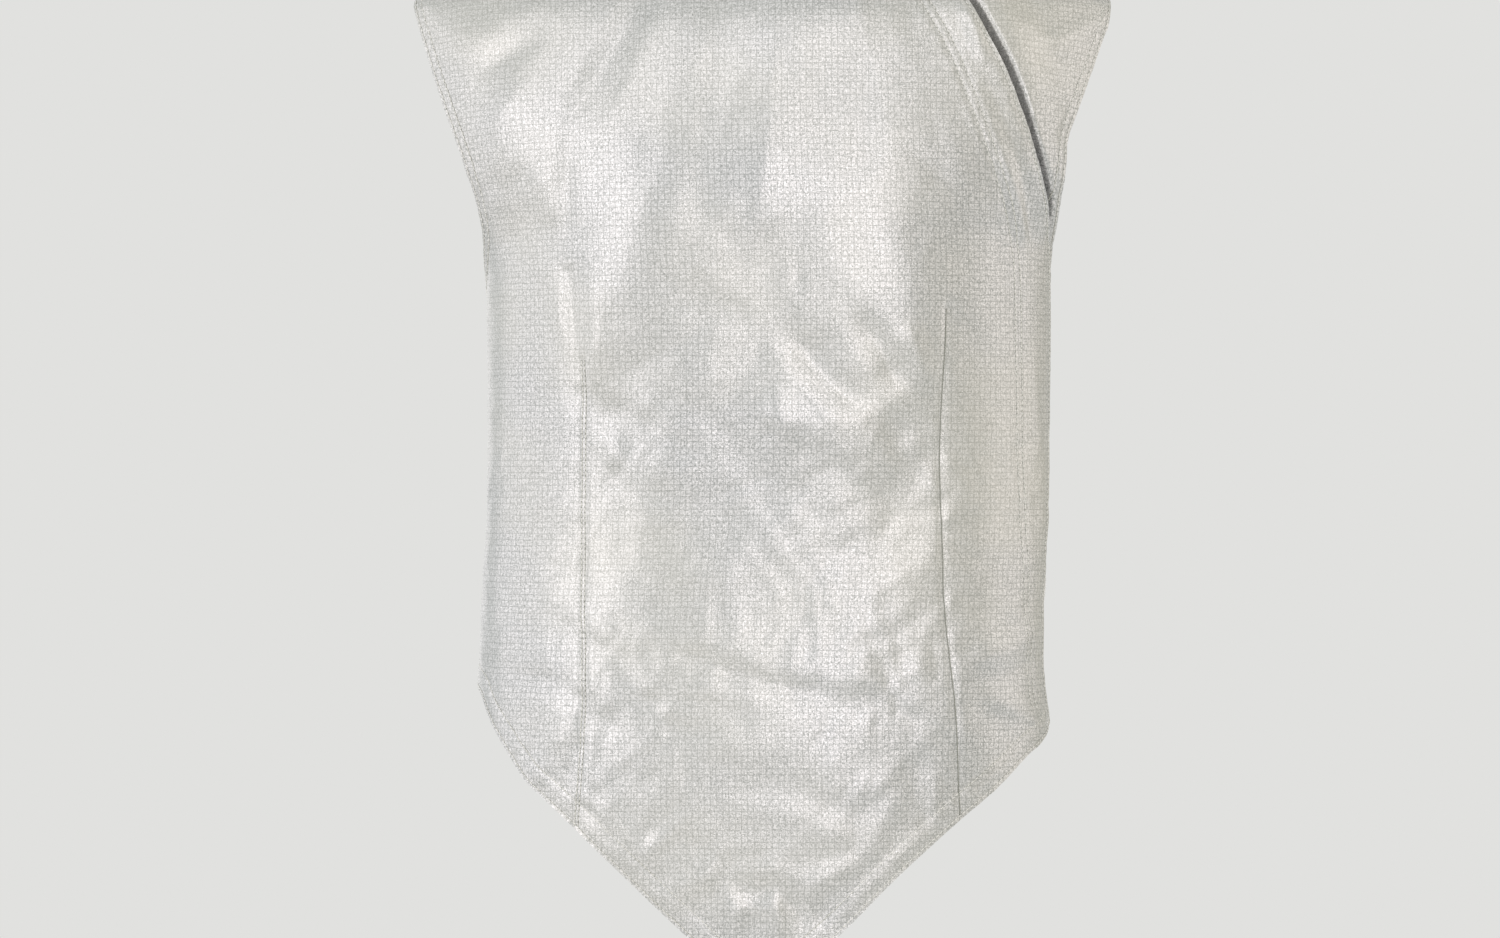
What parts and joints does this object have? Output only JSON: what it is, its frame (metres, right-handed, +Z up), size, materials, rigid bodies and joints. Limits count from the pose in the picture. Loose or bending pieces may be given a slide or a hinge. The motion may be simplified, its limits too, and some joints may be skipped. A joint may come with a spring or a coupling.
{
  "type": "sleeveless fencing lame",
  "caption": "Sleeveless metallic foil over-vest in its worn form, with stand collar, side flap over a zip, darted front and pointed hem.",
  "frame": {"origin": "midway between the two points where the shoulder seams meet the neck, where the shoulders carry the garment", "axes": "+Z up along the body, the front faces -Y, +X is the wearer's left"},
  "size_m": [0.4509, 0.2481, 0.7262],
  "materials": {
    "silver_lame": "silver-grey cloth woven with metal thread, fine ripstop-like grid, soft satin sheen",
    "zip_tape": "plain grey woven tape, matt",
    "zip_metal": "dull nickel"
  },
  "bodies": {
    "root": {"front_panel": "silver_lame", "back_panel": "silver_lame", "side_panel": "silver_lame", "collar": "silver_lame", "zip_tape_side": "zip_tape", "zip_tape_front": "zip_tape", "zip_chain": "zip_metal", "zip_slider": "zip_metal"}
  },
  "joints": []
}
